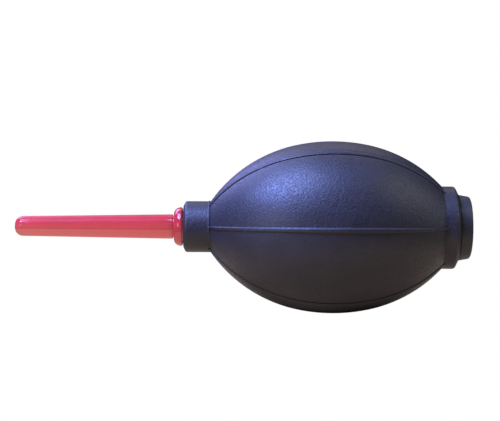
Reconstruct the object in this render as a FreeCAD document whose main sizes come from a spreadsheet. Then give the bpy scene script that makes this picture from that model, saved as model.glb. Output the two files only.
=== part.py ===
"""Dust blower bulb: a squeezable rubber bulb, a push-in nozzle at the front and an air inlet valve at the rear.

Frame: millimetres, +X along the bulb's axis from nozzle to valve, +Z up, origin on the axis at the widest
section. Every size comes from the sheet "Sizes". A Size holds a length as a number and as a formula of the
sheet's cells, so that the same expression places a corner and drives its constraint.
"""

import FreeCAD, Part

import math
import os

import Sketcher

V = FreeCAD.Vector

# Driving dimensions, in millimetres (counts are plain numbers).
DIMENSIONS = {
    # rubber bulb: the wall's outline is a flat crown arc, which meets a rounder end arc crown_half to each side
    "bulb_radius": 30.0,
    "crown_arc": 60.7,
    "crown_half": 12.2,
    "end_arc": 49.0,
    "wall": 2.6,
    "neck_radius": 8.9,
    "neck_length": 9.5,
    "neck_bore": 4.9,
    "neck_bevel_depth": 0.8,
    "neck_bevel_height": 1.7,
    "neck_round": 0.9,
    "collar_radius": 14.4,
    "collar_length": 5.45,
    "collar_bevel_depth": 1.15,
    "collar_bevel_height": 2.3,
    "collar_round": 1.0,
    "collar_bore": 10.2,
    "collar_step": 34.0,
    "mouth_chamfer": 0.4,
    "rib_count": 6,
    "rib_width": 2.1,
    "rib_height": 0.5,
    "rib_root": 0.8,
    "rim_width": 0.6,
    "rim_height": 0.3,
    # the two squeezed walls, seen along Z
    "pad_half_width": 13.8,
    "pad_side_arc": 98.0,
    "pad_front": 32.0,
    "pad_front_arc": 10.9,
    "pad_rear": 28.5,
    "pad_rear_arc": 13.0,
    "pad_gap": 0.15,
    # nozzle
    "nozzle_length": 55.5,
    "nozzle_tip_radius": 3.42,
    "nozzle_base_radius": 4.26,
    "nozzle_nose": 2.75,
    "orifice_radius": 0.6,
    "orifice_length": 3.0,
    "nozzle_bore": 2.3,
    "bead_radius": 6.75,
    "bead_length": 3.0,
    "bead_round": 2.4,
    "bead_gap": 0.35,
    "bead_back_round": 0.5,
    "notch_width": 0.45,
    "notch_radius": 3.85,
    "shank_radius": 4.86,
    "shank_root": 4.5,
    "shank_length": 10.6,
    "barb_length": 2.6,
    "barb_crest": 0.9,
    "barb_count": 3,
    # valve housing
    "flange_gap": 0.15,
    "flange_radius": 11.55,
    "flange_rim": 10.8,
    "flange_length": 4.2,
    "flange_round": 0.85,
    "barrel_radius": 10.15,
    "barrel_bore": 8.4,
    "barrel_end": 34.8,
    "barrel_groove": 9.8,
    "barrel_groove_width": 0.8,
    "barrel_pitch": 2.4,
    "barrel_grooves": 3,
    "seat_thickness": 2.0,
    "recess_depth": 5.2,
    "filter_bore": 8.2,
    "filter_room": 3.0,
    "grille_bore": 8.8,
    "air_hole": 1.2,
    "air_circle": 4.2,
    "air_count": 6,
    "lip_height": 0.3,
    "lip_width": 0.5,
    "lip_outer": 6.8,
    "lip_inner": 2.6,
    # valve disc, cage, filter and grille
    "disc_radius": 7.3,
    "disc_thickness": 0.8,
    "loose_gap": 0.05,
    "disc_lift": 1.1,
    "cage_radius": 8.35,
    "cage_bore": 7.5,
    "cage_length": 2.6,
    "cage_hub": 1.7,
    "cage_spoke": 1.2,
    "spoke_height": 1.4,
    "spoke_count": 4,
    "filter_radius": 8.1,
    "filter_thickness": 2.8,
    "grille_radius": 8.72,
    "grille_thickness": 1.5,
    "grille_round": 0.35,
    "grille_hole": 0.85,
    "inner_circle": 2.9,
    "inner_count": 6,
    "outer_circle": 5.7,
    "outer_count": 12,
}


class Size:
    """A length, with the sheet formula it comes from. Sizes add, subtract, multiply and divide like numbers."""

    def __init__(self, value, formula=None):
        self.value = float(value)
        self.formula = f"{value}" if formula is None else formula

    def __add__(self, other):
        other = as_size(other)
        return Size(self.value + other.value, f"({self.formula} + {other.formula})")

    def __sub__(self, other):
        other = as_size(other)
        return Size(self.value - other.value, f"({self.formula} - {other.formula})")

    def __mul__(self, other):
        other = as_size(other)
        return Size(self.value * other.value, f"({self.formula} * {other.formula})")

    def __truediv__(self, other):
        other = as_size(other)
        return Size(self.value / other.value, f"({self.formula} / {other.formula})")

    def __neg__(self):
        return Size(-self.value, f"(-1 * {self.formula})")


def as_size(number):
    return number if isinstance(number, Size) else Size(number)


def root(size):
    return Size(math.sqrt(size.value), f"sqrt({size.formula})")


class Corner:
    """A corner of an outline. With an arc, the side to the next corner is an arc of that radius: its centre
    lies on the left of the way to the next corner, or on the right if turn is -1."""

    def __init__(self, x, y, arc=None, turn=1):
        self.x, self.y = as_size(x), as_size(y)
        self.arc = None if arc is None else as_size(arc)
        self.turn = turn

    def vector(self):
        return V(self.x.value, self.y.value, 0)


def make_sheet(doc):
    """Writes the driving dimensions to the sheet, and returns each as a Size under its alias."""
    sheet = doc.addObject("Spreadsheet::Sheet", "Sizes")
    sizes = {}
    for row, (alias, value) in enumerate(DIMENSIONS.items(), start=1):
        sheet.set(f"A{row}", alias)
        sheet.set(f"B{row}", f"{value}")
        sheet.setAlias(f"B{row}", alias)
        sizes[alias] = Size(value, f"Sizes.{alias}")
    doc.recompute()
    return sizes


# ---------------------------------------------------------------- sketches


def origin_plane(body, role):
    return next(f for f in body.Origin.OriginFeatures if f.Role == role)


def new_sketch(body, name, plane="XZ_Plane", offset=None):
    """A sketch on one of the body's own origin planes, moved along that plane's normal by offset."""
    sketch = body.newObject("Sketcher::SketchObject", name)
    sketch.AttachmentSupport = [(origin_plane(body, plane), "")]
    sketch.MapMode = "FlatFace"
    if offset is not None:
        sketch.setExpression(".AttachmentOffset.Base.z", offset.formula)
    return sketch


def bind(sketch, constraint, name, size):
    """Adds a dimension that follows the sheet."""
    index = sketch.addConstraint(constraint)
    sketch.renameConstraint(index, name)
    sketch.setExpression(f"Constraints.{name}", size.formula)


def place_point(sketch, geometry, end, x, y, name):
    """Holds a point at x, y from the sketch's origin, both bound to the sheet."""
    if abs(x.value) < 1e-9:
        sketch.addConstraint(Sketcher.Constraint("PointOnObject", geometry, end, -2))
    else:
        rule = Sketcher.Constraint("DistanceX", -1, 1, geometry, end, x.value)
        bind(sketch, rule, f"{name}_x", x)
    if abs(y.value) < 1e-9:
        sketch.addConstraint(Sketcher.Constraint("PointOnObject", geometry, end, -1))
    else:
        rule = Sketcher.Constraint("DistanceY", -1, 1, geometry, end, y.value)
        bind(sketch, rule, f"{name}_y", y)


def arc_between(start, end, radius, turn):
    """The arc of at most half a circle from start to end, whose centre lies to the left if turn is 1."""
    chord = end - start
    middle = (start + end) * 0.5
    left = V(-chord.y, chord.x, 0).normalize()
    rise = math.sqrt(max(radius**2 - (chord.Length / 2) ** 2, 0.0))
    centre = middle + left * (rise * turn)
    first, last = (start, end) if turn > 0 else (end, start)
    from_angle = math.atan2(first.y - centre.y, first.x - centre.x)
    to_angle = math.atan2(last.y - centre.y, last.x - centre.x)
    if to_angle < from_angle:
        to_angle += 2 * math.pi
    return Part.ArcOfCircle(Part.Circle(centre, V(0, 0, 1), radius), from_angle, to_angle)


def draw_outline(sketch, corners):
    """A closed outline through the corners, every corner and arc radius bound to the sheet."""
    count = len(corners)
    base = sketch.GeometryCount
    heads, tails = [], []
    for i, corner in enumerate(corners):
        start, end = corner.vector(), corners[(i + 1) % count].vector()
        if corner.arc is None:
            sketch.addGeometry(Part.LineSegment(start, end))
        else:
            sketch.addGeometry(arc_between(start, end, corner.arc.value, corner.turn))
        backwards = corner.arc is not None and corner.turn < 0
        heads.append(2 if backwards else 1)
        tails.append(1 if backwards else 2)
    for i in range(count):
        follow = (i + 1) % count
        rule = Sketcher.Constraint("Coincident", base + i, tails[i], base + follow, heads[follow])
        sketch.addConstraint(rule)
    for i, corner in enumerate(corners):
        place_point(sketch, base + i, heads[i], corner.x, corner.y, f"corner{base + i}")
        if corner.arc is not None:
            rule = Sketcher.Constraint("Radius", base + i, corner.arc.value)
            bind(sketch, rule, f"arc{base + i}", corner.arc)


def draw_circle(sketch, x, y, radius):
    index = sketch.addGeometry(Part.Circle(V(x.value, y.value, 0), V(0, 0, 1), radius.value))
    place_point(sketch, index, 3, x, y, f"centre{index}")
    bind(sketch, Sketcher.Constraint("Radius", index, radius.value), f"circle{index}", radius)


# ---------------------------------------------------------------- features


def new_body(doc, label):
    body = doc.addObject("PartDesign::Body", label)
    body.Label = label
    return body


def turn_about_x(body, name, corners):
    """Turns an outline, drawn as distance along the axis and radius, once round the X axis."""
    sketch = new_sketch(body, f"{name}_outline")
    draw_outline(sketch, corners)
    turned = body.newObject("PartDesign::Revolution", name)
    turned.Profile = sketch
    turned.ReferenceAxis = (sketch, ["H_Axis"])
    turned.Angle = 360
    body.Document.recompute()
    return turned


def round_rims(body, name, radius, rims, kind="Fillet"):
    """Rounds or chamfers the round edges at the given places, each given as (distance along X, radius)."""
    base = body.Tip
    edges = []
    for number, edge in enumerate(base.Shape.Edges, start=1):
        if not isinstance(edge.Curve, Part.Circle):
            continue
        for x, rim in rims:
            same_place = abs(edge.Curve.Center.x - x.value) < 1e-3
            if same_place and abs(edge.Curve.Radius - rim.value) < 1e-3:
                edges.append(f"Edge{number}")
    feature = body.newObject(f"PartDesign::{kind}", name)
    feature.Base = (base, edges)
    feature.setExpression("Radius" if kind == "Fillet" else "Size", radius.formula)
    body.Document.recompute()
    return feature


def repeat_round(body, name, feature, count):
    """Repeats a feature round the X axis, in even steps of a full turn."""
    pattern = body.newObject("PartDesign::PolarPattern", name)
    pattern.Originals = [feature]
    axis = next(f for f in body.Origin.OriginFeatures if f.Role == "X_Axis")
    pattern.Axis = (axis, [""])
    pattern.Angle = 360
    pattern.setExpression("Occurrences", count.formula)
    body.Tip = pattern
    body.Document.recompute()
    return pattern


def ring_of_holes(body, name, face_x, depth, circle, hole, count):
    """Round holes on a circle, cut from the face at face_x towards the nozzle."""
    sketch = new_sketch(body, f"{name}_outline", "YZ_Plane", face_x)
    draw_circle(sketch, Size(0), circle, hole)
    pocket = body.newObject("PartDesign::Pocket", name)
    pocket.Profile = sketch
    pocket.setExpression("Length", depth.formula)
    body.Document.recompute()
    if count is None:
        return pocket
    return repeat_round(body, f"{name}_round", pocket, count)


# ---------------------------------------------------------------- shared places


def add_places(s):
    """Adds lengths worked out from the driving ones: the wall's arc centres and the faces' X positions."""
    s["crown_sine"] = s["crown_half"] / s["crown_arc"]
    s["crown_cosine"] = root(Size(1) - s["crown_sine"] * s["crown_sine"])
    s["crown_centre_y"] = s["bulb_radius"] - s["crown_arc"]
    s["end_centre_x"] = (s["crown_arc"] - s["end_arc"]) * s["crown_sine"]
    s["end_centre_y"] = s["crown_centre_y"] + (s["crown_arc"] - s["end_arc"]) * s["crown_cosine"]
    s["shoulder_x"] = -wall_reach(s, Size(0), s["neck_radius"])
    s["collar_x"] = wall_reach(s, Size(0), s["collar_radius"])
    s["neck_x"] = s["shoulder_x"] - s["neck_length"]
    s["rear_x"] = s["collar_x"] + s["collar_length"]
    s["flange_x"] = s["rear_x"] + s["flange_gap"]
    s["end_x"] = s["flange_x"] + s["flange_length"]
    s["recess_x"] = s["end_x"] - s["recess_depth"]
    s["seat_x"] = s["recess_x"] - s["seat_thickness"]
    s["ledge_x"] = s["recess_x"] + s["filter_room"]
    s["disc_x"] = s["seat_x"] - s["lip_height"] - s["loose_gap"]
    s["cage_x"] = s["disc_x"] - s["disc_thickness"] - s["disc_lift"] - s["loose_gap"]
    s["bead_x"] = s["neck_x"] - s["bead_gap"]
    s["tube_x"] = s["bead_x"] - s["bead_length"]
    s["tip_x"] = s["tube_x"] - s["nozzle_length"]


def wall_reach(s, offset, radius):
    """How far along the axis the wall's surface, moved outwards by offset, comes down to a radius."""
    arc = s["end_arc"] + offset
    rise = radius - s["end_centre_y"]
    return s["end_centre_x"] + root(arc * arc - rise * rise)


def wall_height(s, offset, x):
    """The radius of the wall's surface, moved outwards by offset, at a distance x that is beyond the crown."""
    arc = s["end_arc"] + offset
    run = x - s["end_centre_x"]
    return s["end_centre_y"] + root(arc * arc - run * run)


def wall_side(s, offset, start_x, start_y, onward, side=1):
    """Corners along the wall's surface, moved outwards by offset: an end arc, the crown's arc and an end arc.

    onward is 1 towards the rear and -1 towards the front; side is 1 above the axis and -1 below it. The place
    where the last arc ends isn't included."""
    crown, end = s["crown_arc"] + offset, s["end_arc"] + offset
    knee_x = crown * s["crown_sine"]
    knee_y = s["crown_centre_y"] + crown * s["crown_cosine"]
    turn = -onward * side
    return [
        Corner(start_x, start_y, end, turn),
        Corner(knee_x * -onward, knee_y * side, crown, turn),
        Corner(knee_x * onward, knee_y * side, end, turn),
    ]


# ---------------------------------------------------------------- rubber bulb


def bulb_profile(s):
    """Outline of neck, wall and collar: the outside from front to rear, then the hollow from rear to front."""
    rim_top = s["neck_radius"] + s["rim_height"]
    rim_x = s["shoulder_x"] - s["rim_width"]
    inward = -s["wall"]
    corners = [
        Corner(s["neck_x"], s["neck_bore"]),
        Corner(s["neck_x"], s["neck_radius"] - s["neck_bevel_height"]),
        Corner(s["neck_x"] + s["neck_bevel_depth"], s["neck_radius"]),
        Corner(rim_x, s["neck_radius"]),
        Corner(rim_x, rim_top),
    ]
    corners += wall_side(s, Size(0), -wall_reach(s, Size(0), rim_top), rim_top, 1)
    corners += [
        Corner(s["collar_x"], s["collar_radius"]),
        Corner(s["rear_x"] - s["collar_bevel_depth"], s["collar_radius"]),
        Corner(s["rear_x"], s["collar_radius"] - s["collar_bevel_height"]),
        Corner(s["rear_x"], s["collar_bore"]),
        Corner(s["collar_step"], s["collar_bore"]),
    ]
    corners += wall_side(s, inward, s["collar_step"], wall_height(s, inward, s["collar_step"]), -1)
    corners.append(Corner(-wall_reach(s, inward, s["neck_bore"]), s["neck_bore"]))
    return corners


def pad_outline(s, inset):
    """The squeezed wall seen along Z: two long arcs beside the ribs, and a shorter arc at each end."""
    half, arc = s["pad_half_width"] - inset, s["pad_side_arc"] - inset
    front, rear = s["pad_front"] - inset, s["pad_rear"] - inset
    drop = arc - half
    front_half = root(arc * arc - front * front) - drop
    rear_half = root(arc * arc - rear * rear) - drop
    return [
        Corner(rear, -rear_half, s["pad_rear_arc"]),
        Corner(rear, rear_half, arc),
        Corner(-front, front_half, s["pad_front_arc"]),
        Corner(-front, -front_half, arc),
    ]


def make_bulb_shell(doc, s):
    """The rubber moulding: neck, side walls with their ribs, and rear collar, with a window above and below."""
    body = new_body(doc, "bulb_shell")
    turn_about_x(body, "shell", bulb_profile(s))
    neck_rims = [
        (s["neck_x"], s["neck_radius"] - s["neck_bevel_height"]),
        (s["neck_x"] + s["neck_bevel_depth"], s["neck_radius"]),
    ]
    collar_rims = [
        (s["rear_x"], s["collar_radius"] - s["collar_bevel_height"]),
        (s["rear_x"] - s["collar_bevel_depth"], s["collar_radius"]),
    ]
    round_rims(body, "neck_rounding", s["neck_round"], neck_rims)
    round_rims(body, "collar_rounding", s["collar_round"], collar_rims)
    mouths = [(s["neck_x"], s["neck_bore"]), (s["rear_x"], s["collar_bore"])]
    round_rims(body, "mouth_chamfers", s["mouth_chamfer"], mouths, "Chamfer")
    add_ribs(body, s)
    cut_windows(body, s)
    return body


def add_ribs(body, s):
    """A raised rib along each sixth of the bulb, from the neck's rim until it runs out on the collar."""
    outward, inward = s["rib_height"], -s["rib_root"]
    front, rear = s["shoulder_x"], s["collar_x"]
    runout = wall_reach(s, outward, s["collar_radius"])
    rear_root = -wall_height(s, inward, rear)
    corners = wall_side(s, inward, front, -wall_height(s, inward, -front), 1, -1)
    corners += [Corner(rear, rear_root), Corner(runout, rear_root)]
    corners += wall_side(s, outward, runout, -s["collar_radius"], -1, -1)
    corners.append(Corner(front, -wall_height(s, outward, -front)))
    sketch = new_sketch(body, "rib_outline", "XY_Plane")
    draw_outline(sketch, corners)
    rib = body.newObject("PartDesign::Pad", "rib")
    rib.Profile = sketch
    rib.SideType = "Symmetric"
    rib.setExpression("Length", s["rib_width"].formula)
    body.Document.recompute()
    repeat_round(body, "ribs", rib, s["rib_count"])


def cut_windows(body, s):
    """Cuts the openings for the thumb wall and the finger wall straight through the shell, along Z."""
    sketch = new_sketch(body, "window_outline", "XY_Plane")
    draw_outline(sketch, pad_outline(s, Size(0)))
    windows = body.newObject("PartDesign::Pocket", "windows")
    windows.Profile = sketch
    windows.Type = "ThroughAll"
    windows.SideType = "Symmetric"
    body.Document.recompute()


def make_squeeze_wall(doc, s, label, side):
    """One squeezed wall: the piece of the bulb's wall in the window, less the gap, above (1) or below (-1)."""
    body = new_body(doc, label)
    sketch = new_sketch(body, "pad_outline", "XY_Plane")
    draw_outline(sketch, pad_outline(s, s["pad_gap"]))
    block = body.newObject("PartDesign::Pad", "block")
    block.Profile = sketch
    block.Reversed = side < 0
    block.setExpression("Length", (s["bulb_radius"] + s["wall"]).formula)
    doc.recompute()
    reach = s["pad_front"] + s["pad_front_arc"]
    inward = -s["wall"]
    beyond = s["bulb_radius"] + s["pad_half_width"]
    hollow = [Corner(-reach, 0)]
    hollow += wall_side(s, inward, -reach, wall_height(s, inward, reach), 1)
    hollow += [Corner(reach, wall_height(s, inward, reach)), Corner(reach, 0)]
    outside = wall_side(s, Size(0), -reach, wall_height(s, Size(0), reach), 1)
    outside += [Corner(reach, wall_height(s, Size(0), reach)), Corner(reach, beyond), Corner(-reach, beyond)]
    groove_about_x(body, "hollow", hollow)
    groove_about_x(body, "outside", outside)
    return body


def groove_about_x(body, name, corners):
    """Cuts away an outline turned once round the X axis."""
    sketch = new_sketch(body, f"{name}_outline")
    draw_outline(sketch, corners)
    groove = body.newObject("PartDesign::Groove", name)
    groove.Profile = sketch
    groove.ReferenceAxis = (sketch, ["H_Axis"])
    groove.Angle = 360
    body.Document.recompute()
    return groove


# ---------------------------------------------------------------- nozzle


def make_nozzle(doc, s):
    """Tapered tube with an air hole in its round nose, a bead, and a barbed shank pushed into the neck."""
    body = new_body(doc, "nozzle")
    notch_x = s["tube_x"] - s["notch_width"]
    tail_x = s["bead_x"] + s["shank_length"]
    orifice_x = s["tip_x"] + s["orifice_length"]
    corners = [
        Corner(s["tip_x"], s["orifice_radius"]),
        Corner(s["tip_x"], s["nozzle_tip_radius"]),
        Corner(notch_x, s["nozzle_base_radius"]),
        Corner(notch_x, s["notch_radius"]),
        Corner(s["tube_x"], s["notch_radius"]),
        Corner(s["tube_x"], s["bead_radius"]),
        Corner(s["bead_x"], s["bead_radius"]),
        Corner(s["bead_x"], s["shank_radius"]),
    ]
    first_barb = tail_x - s["barb_length"] * s["barb_count"]
    barb_count = int(s["barb_count"].value)
    for number in range(barb_count):
        start = first_barb + s["barb_length"] * number
        end = start + s["barb_length"]
        corners.append(Corner(start + s["barb_crest"], s["shank_radius"]))
        corners.append(Corner(end, s["shank_root"]))
        if number < barb_count - 1:
            corners.append(Corner(end, s["shank_radius"]))
    corners += [
        Corner(tail_x, s["nozzle_bore"]),
        Corner(orifice_x, s["orifice_radius"]),
    ]
    turn_about_x(body, "tube", corners)
    round_rims(body, "nose", s["nozzle_nose"], [(s["tip_x"], s["nozzle_tip_radius"])])
    round_rims(body, "bead_front", s["bead_round"], [(s["tube_x"], s["bead_radius"])])
    round_rims(body, "bead_back", s["bead_back_round"], [(s["bead_x"], s["bead_radius"])])
    return body


# ---------------------------------------------------------------- inlet valve


def make_valve_housing(doc, s):
    """Plug in the rear collar: a flange, a grooved barrel, and a seat plate with air holes and two lips."""
    body = new_body(doc, "valve_housing")
    lip_x = s["seat_x"] - s["lip_height"]
    corners = [
        Corner(s["end_x"], s["grille_bore"]),
        Corner(s["ledge_x"], s["grille_bore"]),
        Corner(s["ledge_x"], s["filter_bore"]),
        Corner(s["recess_x"], s["filter_bore"]),
        Corner(s["recess_x"], 0),
        Corner(s["seat_x"], 0),
        Corner(s["seat_x"], s["lip_inner"] - s["lip_width"]),
        Corner(lip_x, s["lip_inner"] - s["lip_width"]),
        Corner(lip_x, s["lip_inner"]),
        Corner(s["seat_x"], s["lip_inner"]),
        Corner(s["seat_x"], s["lip_outer"] - s["lip_width"]),
        Corner(lip_x, s["lip_outer"] - s["lip_width"]),
        Corner(lip_x, s["lip_outer"]),
        Corner(s["seat_x"], s["lip_outer"]),
        Corner(s["seat_x"], s["barrel_bore"]),
        Corner(s["barrel_end"], s["barrel_bore"]),
        Corner(s["barrel_end"], s["barrel_radius"]),
    ]
    for number in range(int(s["barrel_grooves"].value)):
        start = s["barrel_end"] + s["barrel_pitch"] * (number + 1) - s["barrel_groove_width"]
        corners.append(Corner(start, s["barrel_radius"]))
        corners.append(Corner(start, s["barrel_groove"]))
        corners.append(Corner(start + s["barrel_groove_width"], s["barrel_groove"]))
        corners.append(Corner(start + s["barrel_groove_width"], s["barrel_radius"]))
    corners += [
        Corner(s["flange_x"], s["barrel_radius"]),
        Corner(s["flange_x"], s["flange_radius"]),
        Corner(s["end_x"], s["flange_rim"]),
    ]
    turn_about_x(body, "plug", corners)
    round_rims(body, "flange_rounding", s["flange_round"], [(s["end_x"], s["flange_rim"])])
    depth = s["seat_thickness"] + s["lip_height"]
    ring_of_holes(body, "air_holes", s["recess_x"], depth, s["air_circle"], s["air_hole"], s["air_count"])
    return body


def make_valve_disc(doc, s):
    """Loose silicone disc over the seat's air holes, which lifts off them when air is drawn in."""
    front = s["disc_x"] - s["disc_thickness"]
    body = new_body(doc, "valve_disc")
    corners = [
        Corner(front, 0),
        Corner(front, s["disc_radius"]),
        Corner(s["disc_x"], s["disc_radius"]),
        Corner(s["disc_x"], 0),
    ]
    turn_about_x(body, "disc", corners)
    return body


def make_valve_cage(doc, s):
    """Ring with four spokes and a hub, pressed into the barrel, which stops the disc's lift."""
    body = new_body(doc, "valve_cage")
    rear = s["cage_x"]
    front = rear - s["cage_length"]
    ring = [
        Corner(front, s["cage_bore"]),
        Corner(front, s["cage_radius"]),
        Corner(rear, s["cage_radius"]),
        Corner(rear, s["cage_bore"]),
    ]
    turn_about_x(body, "ring", ring)
    sketch = new_sketch(body, "spoke_outline", "YZ_Plane", rear)
    half = s["cage_spoke"] / 2
    reach = (s["cage_bore"] + s["cage_radius"]) / 2
    spoke_corners = [Corner(-half, 0), Corner(half, 0), Corner(half, reach), Corner(-half, reach)]
    draw_outline(sketch, spoke_corners)
    spoke = body.newObject("PartDesign::Pad", "spoke")
    spoke.Profile = sketch
    spoke.Reversed = True
    spoke.setExpression("Length", s["spoke_height"].formula)
    doc.recompute()
    repeat_round(body, "spokes", spoke, s["spoke_count"])
    hub_sketch = new_sketch(body, "hub_outline", "YZ_Plane", rear)
    draw_circle(hub_sketch, Size(0), Size(0), s["cage_hub"])
    hub = body.newObject("PartDesign::Pad", "hub")
    hub.Profile = hub_sketch
    hub.Reversed = True
    hub.setExpression("Length", s["cage_length"].formula)
    doc.recompute()
    return body


def make_dust_filter(doc, s):
    """Foam disc between the seat plate and the grille."""
    front = s["recess_x"] + (s["filter_room"] - s["filter_thickness"]) / 2
    rear = front + s["filter_thickness"]
    body = new_body(doc, "dust_filter")
    corners = [
        Corner(front, 0),
        Corner(front, s["filter_radius"]),
        Corner(rear, s["filter_radius"]),
        Corner(rear, 0),
    ]
    turn_about_x(body, "foam", corners)
    return body


def make_intake_grille(doc, s):
    """Perforated cap that holds the filter in, set just below the flange's rim."""
    body = new_body(doc, "intake_grille")
    front = s["ledge_x"] + s["loose_gap"]
    rear = front + s["grille_thickness"]
    corners = [
        Corner(front, 0),
        Corner(front, s["grille_radius"]),
        Corner(rear, s["grille_radius"]),
        Corner(rear, 0),
    ]
    turn_about_x(body, "plate", corners)
    round_rims(body, "plate_rounding", s["grille_round"], [(rear, s["grille_radius"])])
    depth = s["grille_thickness"]
    hole = s["grille_hole"]
    ring_of_holes(body, "centre_hole", rear, depth, Size(0), hole, None)
    ring_of_holes(body, "inner_holes", rear, depth, s["inner_circle"], hole, s["inner_count"])
    ring_of_holes(body, "outer_holes", rear, depth, s["outer_circle"], hole, s["outer_count"])
    return body


# ---------------------------------------------------------------- document


def check(doc, bodies):
    """Stops if any object failed to compute or any sub-part isn't a valid shape."""
    for item in doc.Objects:
        if "Invalid" in item.State or "Error" in item.State:
            raise RuntimeError(f"{item.Name} ({item.Label}) did not compute: {item.State}")
    for body in bodies:
        if body.Shape.isNull() or not body.Shape.isValid():
            raise RuntimeError(f"{body.Label} is not a valid shape")


def main():
    doc = FreeCAD.newDocument("dust_blower_bulb")
    sizes = make_sheet(doc)
    add_places(sizes)
    bodies = [
        make_bulb_shell(doc, sizes),
        make_squeeze_wall(doc, sizes, "thumb_wall", 1),
        make_squeeze_wall(doc, sizes, "finger_wall", -1),
        make_nozzle(doc, sizes),
        make_valve_housing(doc, sizes),
        make_valve_disc(doc, sizes),
        make_valve_cage(doc, sizes),
        make_dust_filter(doc, sizes),
        make_intake_grille(doc, sizes),
    ]
    doc.recompute()
    check(doc, bodies)
    os.makedirs("parts", exist_ok=True)
    for body in bodies:
        body.Shape.exportStep(f"parts/{body.Label}.step")
        box = body.Shape.BoundBox
        print(
            f"{body.Label:15s} {len(body.Shape.Solids)} solid  {body.Shape.Volume:9.1f} mm3"
            f"  x {box.XMin:8.2f} {box.XMax:8.2f}  z {box.ZMin:7.2f} {box.ZMax:7.2f}"
        )


main()
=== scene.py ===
"""The looks of the dust blower bulb: black grained rubber, milky red nozzle, black inlet valve plug.

Metres, in the CAD part's frame: +X along the bulb's axis from nozzle to plug, +Z up. The sizes below are
in millimetres. An angle round the axis starts from the side that faces the camera (-Y) and goes towards
the top.
"""

import math

import bmesh
import bpy
import numpy as np
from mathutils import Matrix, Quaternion, Vector, noise


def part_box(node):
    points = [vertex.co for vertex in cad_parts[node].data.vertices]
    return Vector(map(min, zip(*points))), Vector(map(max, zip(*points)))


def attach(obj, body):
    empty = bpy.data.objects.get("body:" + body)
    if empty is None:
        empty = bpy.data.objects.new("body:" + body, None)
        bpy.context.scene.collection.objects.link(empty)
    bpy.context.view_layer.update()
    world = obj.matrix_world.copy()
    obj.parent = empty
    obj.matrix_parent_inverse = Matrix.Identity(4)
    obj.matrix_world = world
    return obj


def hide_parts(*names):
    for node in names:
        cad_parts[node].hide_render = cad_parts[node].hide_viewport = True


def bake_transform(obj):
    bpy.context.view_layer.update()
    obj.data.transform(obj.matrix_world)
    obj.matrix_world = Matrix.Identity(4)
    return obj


MM = 0.001

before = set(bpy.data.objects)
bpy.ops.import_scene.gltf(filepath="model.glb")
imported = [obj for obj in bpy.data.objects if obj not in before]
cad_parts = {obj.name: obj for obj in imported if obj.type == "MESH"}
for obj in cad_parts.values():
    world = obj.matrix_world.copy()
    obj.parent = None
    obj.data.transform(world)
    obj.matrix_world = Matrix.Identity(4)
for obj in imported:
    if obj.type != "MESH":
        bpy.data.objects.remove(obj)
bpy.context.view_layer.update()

# ---------------------------------------------------------------- sizes, in millimetres

# rubber bulb: the wall's outline is a flat crown arc that meets a rounder end arc CROWN_HALF to each side
BULB_RADIUS = 30.0
CROWN_ARC = 60.7
CROWN_HALF = 12.2
END_ARC = 49.0
WALL = 2.6
NECK_RADIUS = 8.9
NECK_BORE = 4.9
NECK_BEVEL = (0.8, 1.7)  # along the axis and across it
NECK_ROUND = 0.9
COLLAR_RADIUS = 14.4
COLLAR_BORE = 10.2
COLLAR_STEP = 34.0  # where the collar's bore begins
COLLAR_BEVEL = (1.15, 2.3)
COLLAR_ROUND = 1.0
MOUTH_ROUND = 0.35
RIB_COUNT = 6
RIB_HEIGHT = 0.5  # of the side ribs
ROUND_RIB_HEIGHT = 0.3  # of the other four
RIB_HALF_AT_ENDS = 0.5  # half width
RIB_HALF_IN_MIDDLE = 1.0
RIB_FLANK = 0.55  # of the side ribs, in half widths
RIB_FOOT_DEPTH = 0.42  # of the shallow groove along a rib's foot
RIB_FOOT_REACH = 0.55  # of the same, in half widths of the rib
RIB_RUNOUT = 0.75  # how far the ribs run onto the collar
RIM_HALF = 0.45  # of the narrow rim round the front shoulder
RIM_HEIGHT = 0.24
RIM_FADE = 0.4  # sine of the angle below the side ribs at which the rim has faded out

# columns of the bulb's mesh: across half a rib in its half widths, and across its groove as shares of it
RIB_COLUMNS = (0.0, 0.2, 0.36, 0.42, 0.47, 0.54, 0.64, 0.74, 0.82, 0.88, 0.93, 0.96, 0.985, 1.0)
FOOT_COLUMNS = (0.04, 0.16, 0.3, 0.45, 0.6, 0.8, 1.0)
PANEL_COLUMNS = 20
# stretches where the rows of the bulb's mesh stand close together, on the wall in radians
SHOULDER_ZONE = math.radians(2.2)
COLLAR_ZONE = math.radians(2.0)
RIM_ZONE = 2.4 * RIM_HALF
RUNOUT_ZONE = 1.6 * RIB_RUNOUT

# nozzle
TIP_RADIUS = 3.42
BASE_RADIUS = 4.26
NOSE_ROUND = 2.75
OUTLET_RADIUS = 0.6
OUTLET_LENGTH = 3.0
NOZZLE_BORE = 2.3
BEAD_RADIUS = 6.75
BEAD_LENGTH = 3.0
BEAD_ROUND = 2.4
BEAD_BACK_ROUND = 0.5
BEAD_GAP = 0.35
NOTCH_RADIUS = 3.85
NOTCH_WIDTH = 0.45
SHANK_RADIUS = 4.86
SHANK_ROOT = 4.5
BARB_LENGTH = 2.6
BARB_CREST = 0.9
BARB_COUNT = 3

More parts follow.
